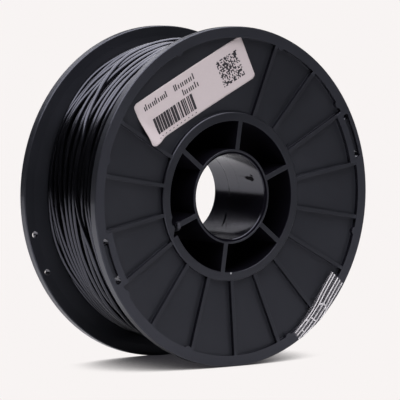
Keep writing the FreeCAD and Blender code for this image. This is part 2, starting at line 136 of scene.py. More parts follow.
def moulding_regions(tree, place):
    """Masks of the mouldings' kinds of surface, the mask of painted shade, and the distance from
    mid-width, by name.
    """
    at = add_node(tree, "ShaderNodeSeparateXYZ", {0: place}).outputs
    sideways = add_node(tree, "ShaderNodeMath", {0: at["X"], 1: at["X"]}, operation="MULTIPLY")
    from_axis = add_node(tree, "ShaderNodeMath", {
        0: at["Z"], 1: at["Z"], 2: sideways.outputs[0]}, operation="MULTIPLY_ADD").outputs[0]
    bore = add_node(tree, "ShaderNodeMath", {
        0: from_axis, 1: (BORE + BORE_SKIN) ** 2}, operation="LESS_THAN").outputs[0]
    hub = add_node(tree, "ShaderNodeMath", {
        0: from_axis, 1: HUB_INSIDE ** 2}, operation="LESS_THAN")
    off_middle = add_node(tree, "ShaderNodeMath", {0: at["Y"]}, operation="ABSOLUTE").outputs[0]
    sunk = add_node(tree, "ShaderNodeMath", {
        0: off_middle, 1: rear_face - SPOKE_SKIN}, operation="LESS_THAN")
    inside = add_node(tree, "ShaderNodeMath", {
        0: hub.outputs[0], 1: sunk.outputs[0]}, operation="MULTIPLY").outputs[0]
    pocket = add_node(tree, "ShaderNodeMath", {
        0: inside, 1: bore}, operation="SUBTRACT", use_clamp=True).outputs[0]
    edge = add_node(tree, "ShaderNodeMath", {
        0: from_axis, 1: FLANGE_EDGE ** 2}, operation="GREATER_THAN").outputs[0]
    facing = add_node(tree, "ShaderNodeSeparateXYZ", {
        0: add_node(tree, "ShaderNodeTexCoord").outputs["Normal"]}).outputs
    flatness = add_node(tree, "ShaderNodeMath", {0: facing["Y"]}, operation="ABSOLUTE")
    steep = add_node(tree, "ShaderNodeMapRange", {
        "Value": flatness.outputs[0], "From Min": STEEP_FULL, "From Max": STEEP_NONE,
        "To Min": 1.0, "To Max": 0.0}).outputs[0]
    handled = add_node(tree, "ShaderNodeMath", {
        0: off_middle, 1: rear_face - HANDLED_SKIN}, operation="GREATER_THAN").outputs[0]
    # Painted shade: steep walls, except the flange's outer edge, and the inside of the hub are painted
    # near black.
    walls = add_node(tree, "ShaderNodeMath", {
        0: steep, 1: edge}, operation="SUBTRACT", use_clamp=True)
    dark = add_node(tree, "ShaderNodeMath", {
        0: inside, 1: walls.outputs[0]}, operation="MAXIMUM").outputs[0]
    return {"bore": bore, "pocket": pocket, "edge": edge, "steep": steep, "handled": handled,
            "dark": dark, "off_middle": off_middle}


def moulding_tone(tree, flow, regions):
    """Charcoal with soft flow marks, paler on the faces that hands rub, and painted shade: black on steep
    walls and in the hub.
    """
    skin = add_node(tree, "ShaderNodeMix", {
        "Factor": flow, 6: linear(SPOOL_CHARCOAL), 7: linear(SPOOL_WORN)}, data_type="RGBA")
    rims = add_node(tree, "ShaderNodeMix", {
        "Factor": regions["handled"], 6: skin.outputs[2], 7: linear(RIM_WORN)}, data_type="RGBA")
    # Painted shade: near black on the steep walls and inside the hub.
    return add_node(tree, "ShaderNodeMix", {
        "Factor": regions["dark"], 6: rims.outputs[2], 7: linear(POCKET_PAINTED_SHADE)},
        data_type="RGBA").outputs[2]


def moulding_polish(tree, flow, regions):
    """Roughness: cloudy satin, duller where it is handled, and set for each other kind of surface."""
    satin = add_node(tree, "ShaderNodeMapRange", {
        "Value": flow, "From Min": NOISE_LOW, "From Max": NOISE_HIGH,
        "To Min": SATIN_GLOSSY, "To Max": SATIN_DULL})
    polish = add_node(tree, "ShaderNodeMath", {
        0: regions["handled"], 1: HANDLED_DULLING, 2: satin.outputs[0]},
        operation="MULTIPLY_ADD").outputs[0]
    for region, roughness in (("steep", WALL_POLISH), ("edge", EDGE_POLISH),
                              ("pocket", POCKET_DULL), ("bore", BORE_POLISH)):
        polish = add_node(tree, "ShaderNodeMix", {
            "Factor": regions[region], "A": polish, "B": roughness}).outputs[0]
    return polish


def scuff(tree, place, centre, along, half_long, half_wide):
    """A mask that is 1 on an oval patch of the surface and fades out at its edge."""
    away = add_node(tree, "ShaderNodeVectorMath", {0: place, 1: centre}, operation="SUBTRACT").outputs[0]
    across = Vector(along).cross(Vector(centre)).normalized()
    lengthwise = add_node(tree, "ShaderNodeVectorMath", {
        0: away, 1: Vector(along).normalized() / half_long}, operation="DOT_PRODUCT").outputs["Value"]
    sideways = add_node(tree, "ShaderNodeVectorMath", {
        0: away, 1: across / half_wide}, operation="DOT_PRODUCT").outputs["Value"]
    far = add_node(tree, "ShaderNodeMath", {0: lengthwise, 1: lengthwise}, operation="MULTIPLY")
    oval = add_node(tree, "ShaderNodeMath", {
        0: sideways, 1: sideways, 2: far.outputs[0]}, operation="MULTIPLY_ADD")
    return add_node(tree, "ShaderNodeMapRange", {
        "Value": oval.outputs[0], "From Min": SCUFF_FULL, "From Max": SCUFF_GONE,
        "To Min": 1.0, "To Max": 0.0}).outputs[0]


def moulding_sheen(tree, place, regions):
    """Specular level: weaker on the worn bore and gone from the hub's pockets and the scuffs."""
    rubbed = add_node(tree, "ShaderNodeMath", {
        0: regions["bore"], 1: BORE_WEAR, 2: regions["pocket"]}, operation="MULTIPLY_ADD").outputs[0]
    for middle, along, half_long, half_wide, strength in BORE_SCUFFS:
        patch = scuff(tree, place, [c * MM for c in middle], along, half_long * MM, half_wide * MM)
        worn = add_node(tree, "ShaderNodeMath", {0: patch, 1: strength}, operation="MULTIPLY")
        rubbed = add_node(tree, "ShaderNodeMath", {
            0: rubbed, 1: worn.outputs[0]}, operation="ADD", use_clamp=True).outputs[0]
    return add_node(tree, "ShaderNodeMapRange", {
        "Value": rubbed, "To Min": SHEEN_NEW, "To Max": SHEEN_RUBBED_OFF}).outputs[0]


def moulding_relief(tree, place, off_middle):
    """Rounded edges, the groove of the parting line and the tool's satin grain."""
    satin = add_node(tree, "ShaderNodeTexNoise", {
        "Vector": place, "Scale": 1 / TOOL_SATIN, "Detail": 2.0}).outputs["Fac"]
    seam = add_node(tree, "ShaderNodeMapRange", {
        "Value": off_middle, "From Min": 0.0, "From Max": PARTING_HALF}, interpolation_type="SMOOTHSTEP")
    edges = add_node(tree, "ShaderNodeBevel", {"Radius": EDGE_ROUND}, samples=4)
    parting = add_node(tree, "ShaderNodeBump", {
        "Height": seam.outputs[0], "Strength": 1.0, "Distance": PARTING_DEPTH, "Normal": edges.outputs[0]})
    return add_node(tree, "ShaderNodeBump", {
        "Height": satin, "Strength": 0.2, "Distance": SATIN_DEPTH,
        "Normal": parting.outputs[0]}).outputs[0]


def moulded_polystyrene():
    """The plastic of both mouldings: a satin skin over charcoal, worn where the spool is handled."""
    material, tree = start_material("moulded_polystyrene")
    place = add_node(tree, "ShaderNodeTexCoord").outputs["Object"]
    flow = add_node(tree, "ShaderNodeTexNoise", {
        "Vector": place, "Scale": 1 / FLOW_MARK, "Detail": 3.0, "Roughness": 0.55}).outputs["Fac"]
    regions = moulding_regions(tree, place)
    finish_material(tree, add_node(tree, "ShaderNodeBsdfPrincipled", {
        "Base Color": moulding_tone(tree, flow, regions),
        "Roughness": moulding_polish(tree, flow, regions),
        "IOR": POLYSTYRENE_IOR,
        "Specular IOR Level": moulding_sheen(tree, place, regions),
        "Specular Tint": linear(SKIN_TINT),
        "Normal": moulding_relief(tree, place, regions["off_middle"])}))
    return material


spool_plastic = moulded_polystyrene()
for node in ("front_half", "rear_half"):
    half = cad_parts[node]
    half.data.materials.clear()
    half.data.materials.append(spool_plastic)

# The gate mark
# Where the front moulding was fed, a small spot of torn plastic stands on the hub ring, near its lowest
# point. It is paler than the skin and matt, because the plastic was stressed there.
GATE_RADIUS = 45.9 * MM
GATE_TURN = 269.1
GATE_SIZE = 0.62 * MM
GATE_SIDES = 12
# The spot's foot and top: depth behind the rim's face, and share of its size.
GATE_LEVELS = ((3.10 * MM, 1.0), (2.97 * MM, 0.7))
GATE_PALE = "#9e9ea2"
GATE_GREY = "#919195"
GATE_FRACTURE = 0.4 * MM


def round_axis(radius, degrees, depth):
    """A point at a radius and angle round the bore's axis, at a depth behind the front rim's face."""
    angle = math.radians(degrees)
    return Vector((radius * math.cos(angle), front_face + depth, radius * math.sin(angle)))


def add_tube(points, faces, rings):
    """Adds a closed tube through rings of points to a mesh's lists of points and faces."""
    first, sides = len(points), len(rings[0])
    for ring in rings:
        points.extend(ring)
    last = len(points) - sides
    for start in range(first, last, sides):
        for side in range(sides):
            after = (side + 1) % sides
            faces.append((start + after, start + sides + after, start + sides + side, start + side))
    faces.append(tuple(range(first + sides - 1, first - 1, -1)))
    faces.append(tuple(range(last, last + sides)))


def make_piece(name, points, faces, material):
    """A mesh object at the origin, from its points and faces."""
    mesh = bpy.data.meshes.new(name)
    mesh.from_pydata([tuple(point) for point in points], [], faces)
    mesh.materials.append(material)
    piece = bpy.data.objects.new(name, mesh)
    bpy.context.scene.collection.objects.link(piece)
    return piece


def mottle(tree, size, one, other):
    """An uneven tone between two colours, with patches of a given size."""
    patches = add_node(tree, "ShaderNodeTexNoise", {
        "Vector": add_node(tree, "ShaderNodeTexCoord").outputs["Object"], "Scale": 1 / size,
        "Detail": 2.0})
    spread = add_node(tree, "ShaderNodeMapRange", {
        "Value": patches.outputs["Fac"], "From Min": NOISE_LOW, "From Max": NOISE_HIGH})
    return add_node(tree, "ShaderNodeMix", {
        "Factor": spread.outputs[0], 6: linear(one), 7: linear(other)}, data_type="RGBA").outputs[2]


def stressed_polystyrene():
    """The moulding's plastic where it was torn at the gate: whitened and matt."""
    material, tree = start_material("stressed_polystyrene")
    finish_material(tree, add_node(tree, "ShaderNodeBsdfPrincipled", {
        "Base Color": mottle(tree, GATE_FRACTURE, GATE_PALE, GATE_GREY), "Roughness": 0.5,
        "IOR": POLYSTYRENE_IOR}))
    return material


def gate_ring(depth, share):
    """The outline of the gate's spot at a depth."""
    turns = [2 * math.pi * side / GATE_SIDES for side in range(GATE_SIDES)]
    middle = round_axis(GATE_RADIUS, GATE_TURN, depth)
    return [middle + Vector((math.cos(turn), 0, math.sin(turn))) * (share * GATE_SIZE) for turn in turns]


gate_points, gate_faces = [], []
add_tube(gate_points, gate_faces, [gate_ring(depth, share) for depth, share in GATE_LEVELS])
gate_marks = make_piece("gate_marks", gate_points, gate_faces, stressed_polystyrene())
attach(gate_marks, "root")

# The window's lip
# The inner edge of the hub ring and the foot of the spoke beside the drum's window, part of the front
# moulding. They leave only a small notch, where the filament's inner end comes out.
LIP_DEPTH = 3.04 * MM
LIP_THICK = 1.5 * MM
LIP_OUTER = 49.8 * MM
# Its inner edge, as angle in degrees and radius in millimetres.
LIP_INNER = ((191.8, 45.4), (193.6, 45.4), (194.6, 46.0), (196.5, 46.6), (199.6, 46.6),
             (199.62, 45.6), (201.5, 45.5), (203.4, 45.7), (203.42, 46.6), (204.6, 47.0), (206.0, 47.9),
             (207.2, 48.4), (208.2, 48.6))


def grid_faces(start, columns, rows):
    """The faces between rows of points that are numbered one row after another from start."""
    corners = [start + row * (columns + 1) + column for row in range(rows) for column in range(columns)]
    return [(first, first + 1, first + columns + 2, first + columns + 1) for first in corners]


def bake_modifiers(piece):
    """Turns an object with modifiers into a plain mesh and removes them."""
    seen = piece.evaluated_get(bpy.context.evaluated_depsgraph_get())
    plain = bpy.data.meshes.new_from_object(seen)
    piece.modifiers.clear()
    piece.data = plain
    return piece


def thicken(piece, thickness):
    """Gives a sheet a closed body behind its front face."""
    body = piece.modifiers.new("thickness", "SOLIDIFY")
    body.thickness = thickness
    body.offset = -1
    bake_modifiers(piece)


lip_points = [round_axis(reach, turn, LIP_DEPTH) for turn, radius in LIP_INNER
              for reach in (radius * MM, LIP_OUTER)]
window_lip = make_piece("window_lip", lip_points, grid_faces(0, 1, len(LIP_INNER) - 1), spool_plastic)
thicken(window_lip, LIP_THICK)
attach(window_lip, "root")

# The slots' ledges
# Ledges in the two filament slots of the front rim, between their end holes, part of the front
# moulding. They make the slots about 1.9 mm deep, as the narrow dark line in the photograph shows.
LEDGE_ANGLES = (20.9, 200.9)
LEDGE_HALF_SPAN = 6.0
LEDGE_STEPS = 16
# A ledge's section, as radius and depth in millimetres.
LEDGE_EDGES = ((95.15, 1.85), (98.45, 1.85), (98.45, 2.95), (95.15, 2.95))
ledge_points, ledge_faces = [], []
for middle_turn in LEDGE_ANGLES:
    ledge_turns = np.linspace(middle_turn - LEDGE_HALF_SPAN, middle_turn + LEDGE_HALF_SPAN,
                              LEDGE_STEPS + 1)
    add_tube(ledge_points, ledge_faces, [
        [round_axis(radius * MM, turn, depth * MM) for radius, depth in LEDGE_EDGES]
        for turn in ledge_turns])
slot_ledges = make_piece("slot_ledges", ledge_points, ledge_faces, spool_plastic)
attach(slot_ledges, "root")

# The filament
# One extruded strand of glossy black plastic, wound by machine on the drum from flange to flange and
# back. The turns lie loosely, each in the gaps of the turns below, and wander and cross near the top.
STRAND = 2.85 * MM
DRUM = 48.0 * MM
RIM_INSIDE = 95.0 * MM
HUB_RING = 50.5 * MM
DISH = 3.35 * MM
DISH_SLOPE = DISH / (RIM_INSIDE - HUB_RING)
RIM_BACK = 5.2 * MM
FLANGE_GAP = 0.1 * MM
WINDING_MEAN = 88.2 * MM
WINDING_OVAL = 3.2 * MM
WINDING_LIFT = 0.8 * MM
INNER_MEAN = 82.0 * MM
TURN_PITCH = 3.3 * MM
PITCH_LEAST = 0.92
PITCH_MOST = 1.12
WINDING_SEED = 11
# The strand's sideways drift in millimetres, at the drum and how much it grows towards the outside.
DRIFT_AT_DRUM = 0.1
DRIFT_GROWTH = 0.3
DRIFT_SEED = 5
START_ANGLE = 90
STATIONS = 144
# How far a turn may slip sideways into a groove, in how many steps that is tried, and what a slip costs.
INNER_FREEDOM = 1.5 * MM
OUTER_FREEDOM = 0.8 * MM
SLIP_PLACES = 13
SLIP_STIFFNESS = 1400.0
SLIP_SMOOTHING = 9
# How many stations a taut strand can bridge, and how far tension brings it to an even radius.
SPAN = 12
TENSION = 0.5
# How many of the last turns can lie under a new one, and how many make up the top layer.
TURNS_UNDER = 60
TURNS_IN_LAYER = 14
# Where the outer turns lie across the drum, in millimetres from mid-width: each row is one turn, its
# first place at the top and the others at the lags below, in degrees on the side with the window.
OUTER_SMOOTHING = 11
OUTER_LAGS = (5, 20, 35, 50, 65, 80, 95, 110, 125, 140, 155, 170)
OUTER_TURNS = (
    (32, 32, 32, 32, 32, 32, 32, 32, 32, 32, 32, 32),
    (31, 31, 32, 32, 32, 32, 32, 32, 32, 31, 29, 29),
    (27, 28.6, 32, 32, 32, 32, 32, 32, 29.3, 26, 26, 27),
    (24, 24, 25.8, 30.3, 32, 31.3, 29.8, 28.5, 23.5, 22, 22, 23),
    (21, 21, 24.2, 27.3, 29.3, 28.3, 26.8, 24, 20.5, 19, 19, 20),
    (17, 17, 19.8, 24.8, 27, 24, 20.5, 20.5, 17.5, 16.5, 16, 17),
    (14, 14.8, 16.8, 19.6, 19.8, 17.6, 16, 15.5, 15, 14.2, 14, 14),
    (11, 11, 14, 15, 14.1, 12.8, 12.3, 12.4, 12.8, 12, 12, 11),
    (6, 5, 5.3, 7.3, 7.8, 7.6, 7.3, 7.8, 8.8, 9.5, 9.5, 8),
    (2, -1, 0, 3.8, 3, 4, 3.5, 3.5, 4.5, 6, 6.5, 5),
    (-2, -4, -3, 0, 0, 0, 1, 0, -0.7, 2, 3, 2),
    (-5, -6, -5, -3, -1.8, -3.4, -4.8, -6, -5, -2, -1, -2),
    (-10, -11, -10, -9.2, -7.4, -7.4, -8.4, -9, -8, -6, -5, -6),
    (-13.5, -14, -13.5, -13, -11, -11, -12, -12.5, -12, -10, -8.5, -9.5),
    (-17, -17.5, -17, -16.5, -15, -15, -15.5, -16, -15.5, -13.5, -12, -13),
    (-20.5, -21, -20.5, -20, -19, -19, -19, -19.5, -19, -17, -15.5, -16.5),
    (-24, -24.5, -24, -23.5, -23, -23, -23, -23, -22.5, -21, -19, -20),
    (-27.5, -28, -27.5, -27, -27, -27, -27, -27, -26, -25, -23, -24),
    (-31, -31.5, -31.5, -31, -31, -31, -31, -31, -30, -29, -27, -22),
    (19, 18, 15.3, 10.8, 6.8, 3.8, 2.3, -3.2, -5.5, -1.7, 5, 8),
)
# The covered turns have fewer points and sides; this many of the last inner turns show between the outer.
COVERED_EVERY = 3
COVERED_SIDES = 6
SHOWN_SIDES = 12
SHOWN_INNER = 30
FILAMENT_BLACK = "#040405"
FILAMENT_IOR = 1.6
WOUND_GLOSS = (0.14, 0.22)
DRAWN_HAZE = 16.7 * MM
half_width = (rear_face - front_face) / 2
mid_width = (rear_face + front_face) / 2


def flange_reach(radius):
    """How far from mid-width a strand's middle may lie at a radius, between the dished flanges."""
    depth = RIM_BACK + DISH_SLOPE * (RIM_INSIDE - max(radius, HUB_RING))
    return half_width - depth - STRAND / 2 - FLANGE_GAP


def wander(turns, seed):
    """Smooth sideways drift of the strand, as a sum of slow waves along its length."""
    rates = (0.31, 0.83, 1.27, 1.91, 2.63)
    sizes = (1.0, 0.8, 0.55, 0.35, 0.2)
    shifts = np.random.default_rng(seed).uniform(0, 2 * math.pi, len(rates))
    return sum(a * np.sin(2 * math.pi * f * turns + s) for a, f, s in zip(sizes, rates, shifts))


def even_out(line, width, start):
    """A line smoothed over a number of its points, coming level from start and going on level."""
    weights = np.hanning(width + 2)[1:-1]
    padded = np.concatenate([np.repeat(start, width // 2), line, np.repeat(line[-1], width // 2)])
    return np.convolve(padded, weights / weights.sum(), "valid")


def ground_under(lines, places, radii):
    """The radius at which a strand rests on the turns under it, for each of several lines."""
    ground = np.full(lines.shape, DRUM + STRAND / 2)
    for under_place, under_radius in zip(places[-TURNS_UNDER:], radii[-TURNS_UNDER:]):
        apart = np.abs(lines - under_place)
        lift = np.sqrt(np.maximum(STRAND ** 2 - apart ** 2, 0))
        ground = np.where(apart < STRAND, np.maximum(ground, under_radius + lift), ground)
    return ground


def lowest_way(ground, slips, came_from):
    """The slip at each station on the way round that lies lowest for the least slipping."""
    bend = SLIP_STIFFNESS * (slips[:, None] - slips[None, :]) ** 2
    cost = ground[:, 0] + SLIP_STIFFNESS * (slips - came_from) ** 2
    choices = []
    for station in range(1, STATIONS):
        steps = cost[None, :] + bend
        choices.append(steps.argmin(axis=1))
        cost = steps.min(axis=1) + ground[:, station]
    pick = [int(cost.argmin())]
    for choice in reversed(choices):
        pick.append(int(choice[pick[-1]]))
    return slips[pick[::-1]]


def pull_taut(rest, last_turn):
    """Lifts a turn off its dips: the strand bridges a dip in a straight line between its two sides."""
    line = 1 / np.concatenate([last_turn[-SPAN:], rest, rest[:SPAN]])
    taut = line.copy()
    inner = slice(SPAN, SPAN + STATIONS)
    step = 2 * math.pi / STATIONS
    for back in range(1, SPAN + 1):
        for ahead in range(1, SPAN + 1):
            chord = (math.sin(back * step) * line[SPAN + ahead:SPAN + ahead + STATIONS]
                     + math.sin(ahead * step) * line[SPAN - back:SPAN - back + STATIONS])
            taut[inner] = np.minimum(taut[inner], chord / math.sin((back + ahead) * step))
    return 1 / taut[inner]


def lay_turn(path, freedom, limit, places, radii):
    """Lays one turn: it slips sideways into a groove near its path, then tension pulls it round."""
    slips = np.linspace(-freedom, freedom, SLIP_PLACES)
    lines = np.clip(path[None, :] + slips[:, None], -limit, limit)
    came_from = np.clip(places[-1][-1] - path[0], -freedom, freedom) if places else 0.0
    slip = lowest_way(ground_under(lines, places, radii), slips, came_from)
    slip = even_out(slip, SLIP_SMOOTHING, came_from if places else slip[0])
    here = np.clip(path + slip, -limit, limit)
    rest = ground_under(here[None, :], places, radii)[0]
    pulled = pull_taut(rest, radii[-1] if radii else rest)
    level = np.interp(np.arange(STATIONS), (0, STATIONS), (
        radii[-1].mean() if radii else pulled.mean(), pulled.mean()))
    places.append(here)
    radii.append(pulled + TENSION * (level - pulled))


def wind_inner_layers(places, radii):
    """Winds turn after turn from flange to flange and back, up to the layers that can be seen."""
    place = -flange_reach(DRUM)
    way = 1.0
    layer_mean = DRUM
    chance = np.random.default_rng(WINDING_SEED)
    steps = np.arange(STATIONS) / STATIONS
    while layer_mean < INNER_MEAN or abs(place) < flange_reach(layer_mean) - TURN_PITCH:
        age = (layer_mean - DRUM) / (WINDING_MEAN - DRUM)
        advance = TURN_PITCH * chance.uniform(PITCH_LEAST, PITCH_MOST)
        limit = flange_reach(layer_mean)
        drift = (DRIFT_AT_DRUM + DRIFT_GROWTH * age) * MM * wander(len(places) + steps, DRIFT_SEED)
        path = np.clip(place + way * advance * steps, -limit, limit) + drift
        lay_turn(path, INNER_FREEDOM, limit, places, radii)
        layer_mean = float(np.mean([radius.mean() for radius in radii[-TURNS_IN_LAYER:]]))
        place += way * advance
        if abs(place) > limit:
            place = math.copysign(limit, place)
            if radii[-1].mean() > layer_mean:
                way = -way


def wind_outer_turns(places, radii):
    """Lays the turns that can be seen along their own places, as smooth lines."""
    degrees = START_ANGLE + 360 * (np.arange(len(OUTER_TURNS) * STATIONS) / STATIONS)
    known, laid = [], []
    for number, turn in enumerate(OUTER_TURNS):
        known += [START_ANGLE + 360 * number + lag for lag in OUTER_LAGS]
        laid += [place * MM for place in turn]
    outer = np.interp(degrees, known, laid)
    outer = even_out(outer, OUTER_SMOOTHING, outer[0])
    for path in outer.reshape(-1, STATIONS):
        lay_turn(path, OUTER_FREEDOM, flange_reach(WINDING_MEAN), places, radii)


def strand_points(places, radii, every):
    """The strand's points in the frame, with the winding's oval growing from the drum outwards."""
    place = np.array(places).reshape(-1)
    radius = np.array(radii).reshape(-1)
    angle = math.radians(START_ANGLE) + 2 * math.pi * np.arange(place.size) / STATIONS
    grown = (radius - DRUM) / (WINDING_MEAN - DRUM)
    radius = radius + grown * (WINDING_LIFT * np.sin(angle) - WINDING_OVAL * np.cos(2 * angle))
    points = np.stack([radius * np.cos(angle), mid_width + place, radius * np.sin(angle)], axis=1)
    return points[::every]


def sweep_tree():
    """Geometry nodes that put a round section along an edge path."""
    tree = bpy.data.node_groups.new("round_strand", "GeometryNodeTree")
    face = tree.interface
    face.new_socket("Geometry", in_out="INPUT", socket_type="NodeSocketGeometry")
    face.new_socket("Strand radius", in_out="INPUT", socket_type="NodeSocketFloat")
    face.new_socket("Sides", in_out="INPUT", socket_type="NodeSocketInt")
    face.new_socket("Material", in_out="INPUT", socket_type="NodeSocketMaterial")
    face.new_socket("Geometry", in_out="OUTPUT", socket_type="NodeSocketGeometry")
    inside = add_node(tree, "NodeGroupInput").outputs
    curve = add_node(tree, "GeometryNodeMeshToCurve", {0: inside["Geometry"]})
    section = add_node(tree, "GeometryNodeCurvePrimitiveCircle", {
        "Resolution": inside["Sides"], "Radius": inside["Strand radius"]})
    tube = add_node(tree, "GeometryNodeCurveToMesh", {
        "Curve": curve.outputs[0], "Profile Curve": section.outputs[0], "Fill Caps": True})
    smooth = add_node(tree, "GeometryNodeSetShadeSmooth", {"Geometry": tube.outputs[0]})
    real = add_node(tree, "GeometryNodeRealizeInstances", {0: smooth.outputs[0]})
    finish = add_node(tree, "GeometryNodeSetMaterial", {
        "Geometry": real.outputs[0], "Material": inside["Material"]})
    add_node(tree, "NodeGroupOutput", {0: finish.outputs[0]})
    return tree


def sweep_strand(name, points, sides, material):
    """A length of the strand along points, made by the geometry nodes above."""
    mesh = bpy.data.meshes.new(name)
    edges = [(number, number + 1) for number in range(len(points) - 1)]
    mesh.from_pydata([tuple(point) for point in points], edges, [])
    piece = bpy.data.objects.new(name, mesh)
    bpy.context.scene.collection.objects.link(piece)
    modifier = piece.modifiers.new("strand", "NODES")
    modifier.node_group = sweep_group
    sockets = {item.name: item.identifier for item in sweep_group.interface.items_tree
               if item.in_out == "INPUT"}
    modifier[sockets["Strand radius"]] = STRAND / 2
    modifier[sockets["Sides"]] = sides
    modifier[sockets["Material"]] = material
    return bake_modifiers(piece)


def extruded_filament(name, glossiest, dullest):
    """Black thermoplastic, drawn smooth from a round die, with its roughness between two values."""
    material, tree = start_material(name)
    place = add_node(tree, "ShaderNodeTexCoord").outputs["Object"]
    haze = add_node(tree, "ShaderNodeTexNoise", {
        "Vector": place, "Scale": 1 / DRAWN_HAZE, "Detail": 2.0}).outputs["Fac"]
    gloss = add_node(tree, "ShaderNodeMapRange", {
        "Value": haze, "From Min": NOISE_LOW, "From Max": NOISE_HIGH,
        "To Min": glossiest, "To Max": dullest})
    finish_material(tree, add_node(tree, "ShaderNodeBsdfPrincipled", {
        "Base Color": linear(FILAMENT_BLACK), "Roughness": gloss.outputs[0], "IOR": FILAMENT_IOR,
        "Specular Tint": linear(SKIN_TINT)}))
    return material


sweep_group = sweep_tree()
wound_filament = extruded_filament("extruded_filament", *WOUND_GLOSS)
turn_places, turn_radii = [], []
wind_inner_layers(turn_places, turn_radii)
shown_from = len(turn_places) - SHOWN_INNER
wind_outer_turns(turn_places, turn_radii)
covered_points = strand_points(turn_places[:shown_from], turn_radii[:shown_from], COVERED_EVERY)
all_points = strand_points(turn_places, turn_radii, 1)
inner_turns = sweep_strand("filament_inner_turns", covered_points, COVERED_SIDES, wound_filament)
outer_turns = sweep_strand("filament_outer_turns", all_points[shown_from * STATIONS:], SHOWN_SIDES,
                           wound_filament)
strand_length = float(np.linalg.norm(np.diff(all_points, axis=0), axis=1).sum())
print("winding", len(turn_places), "turns,", round(strand_length, 1), "m")
for piece in (inner_turns, outer_turns):
    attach(piece, "root")
    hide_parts("filament_winding")

# The filament's inner end
# It leaves the winding through the window beside the hub ring and is bent across a spoke, cut square.
# Handling has dulled it.
# Its route, as radius in millimetres, angle in degrees and depth in millimetres.
END_ROUTE = ((53.7, 211.4, 11.15), (48.0, 205.96, 11.15), (43.575, 204.6, 8.3),
             (43.4, 203.4, 1.625), (43.0, 198.0, 1.625))
END_BEND_STEPS = 12
END_SIDES = 20
HANDLED_GLOSS = (0.4, 0.5)
corners = [round_axis(radius * MM, turn, depth * MM) for radius, turn, depth in END_ROUTE]
halves = [(one + two) / 2 for one, two in zip(corners[1:-2], corners[2:-1])]
joins = [corners[0]] + halves + [corners[-1]]
end_points = []
for begin, corner, finish in zip(joins[:-1], corners[1:-1], joins[1:]):
    for part in np.linspace(0, 1, END_BEND_STEPS + 1)[:-1]:
        end_points.append(begin * (1 - part) ** 2 + corner * 2 * part * (1 - part) + finish * part ** 2)
end_points.append(corners[-1])
filament_end = sweep_strand("filament_end", end_points, END_SIDES,
                            extruded_filament("handled_filament", *HANDLED_GLOSS))
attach(filament_end, "root")
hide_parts("filament_winding")

# The paper label
# A thermal-printed paper label, stuck in the rib-free sector of the front flange. Its lower left
# corner laps over the first rib, so the paper lifts off the panel there. The marks on it are plain.
LABEL_LENGTH = 88.0 * MM
LABEL_WIDTH = 28.0 * MM
LABEL_CORNER = 2.4 * MM
LABEL_PAPER = 0.2 * MM
LABEL_SUNK = 0.05 * MM
LABEL_COLUMNS = 88
LABEL_ROWS = 28
LABEL_PLACE = (-27.07 * MM, 63.47 * MM)
LABEL_TILT = math.radians(27.35)
PANEL_RECESS = 2.6 * MM
RIB_ANGLE = math.radians(150.5)
RIB_DROP = 0.15 * MM
LIFT_SPAN = 10.0 * MM
LABEL_WHITE = "#c4b9b9"
PAPER_MOTTLE = 1.1 * MM
MOTTLE_TONE = 0.03
PAPER_IOR = 1.45
PRINT_BLACK = "#211e22"
PRINT_FADED = "#28252a"
PRINT_DOTS = 0.5 * MM
PRINT_PROUD = 0.02 * MM
# The print, in millimetres from the label's middle: bars, rows of strokes, dashes and square cells.
PRINT_CELL = 1.5
PRINT_SEED = 4
BAR_FIELD = (-34.6, -2.2, -10.4, -0.2)
BAR_LEAST = 0.2
BAR_WIDTHS = (0.45, 0.85, 1.3, 1.9)
BAR_ODDS = (0.3, 0.3, 0.2, 0.2)
GAP_WIDTHS = (0.35, 0.6, 1.0)
GAP_ODDS = (0.6, 0.25, 0.15)
STROKE_ROWS = ((-37.6, -18.6, 6.6), (-13.0, 3.0, 6.6), (-8.2, 3.6, 1.2))
STROKE_WIDTH = 0.85
STROKE_HEIGHTS = (2.7, 2.7, 3.9)
STROKE_STEPS = (1.35, 1.5, 1.9)
DASH_START = (-35.6, -12.6)
DASH_SIZE = (1.1, 0.5)
DASH_PITCH = 3.1
DASHES = 11
CELL = 0.8
CELL_START = (20.8, -9.0)
CELLS = 21
CELL_SHARE = 0.56


def on_label(along, across, proud):
    """A point of the label from its own coordinates: it lies on the dished panel and over the rib."""
    x = LABEL_PLACE[0] + along * math.cos(LABEL_TILT) - across * math.sin(LABEL_TILT)
    z = LABEL_PLACE[1] + along * math.sin(LABEL_TILT) + across * math.cos(LABEL_TILT)
    radius = min(max(math.hypot(x, z), HUB_RING), RIM_INSIDE)
    panel = PANEL_RECESS + DISH_SLOPE * (RIM_INSIDE - radius)
    past_rib = x * math.sin(RIB_ANGLE) - z * math.cos(RIB_ANGLE)
    climb = min(max(1 - past_rib / LIFT_SPAN, 0.0), 1.0)
    lift = (panel - RIB_DROP) * climb * climb * (3 - 2 * climb)
    return (x, front_face + panel - LABEL_SUNK - lift - proud, z)


def rounded_end(across):
    """Half the label's length at a distance across it, with its corners cut to a radius."""
    into = abs(across) - (LABEL_WIDTH / 2 - LABEL_CORNER)
    cut = LABEL_CORNER - math.sqrt(max(LABEL_CORNER ** 2 - into ** 2, 0)) if into > 0 else 0.0
    return LABEL_LENGTH / 2 - cut


def thermal_paper():
    """Smooth coated white paper with a little mottle."""
    material, tree = start_material("thermal_paper")
    place = add_node(tree, "ShaderNodeTexCoord").outputs["Object"]
    fibre = add_node(tree, "ShaderNodeTexNoise", {
        "Vector": place, "Scale": 1 / PAPER_MOTTLE, "Detail": 3.0}).outputs["Fac"]
    tone = add_node(tree, "ShaderNodeHueSaturation", {
        "Color": linear(LABEL_WHITE), "Value": add_node(tree, "ShaderNodeMapRange", {
            "Value": fibre, "To Min": 1 - MOTTLE_TONE, "To Max": 1 + MOTTLE_TONE}).outputs[0]})
    finish_material(tree, add_node(tree, "ShaderNodeBsdfPrincipled", {
        "Base Color": tone.outputs[0], "Roughness": 0.55, "IOR": PAPER_IOR}))
    return material


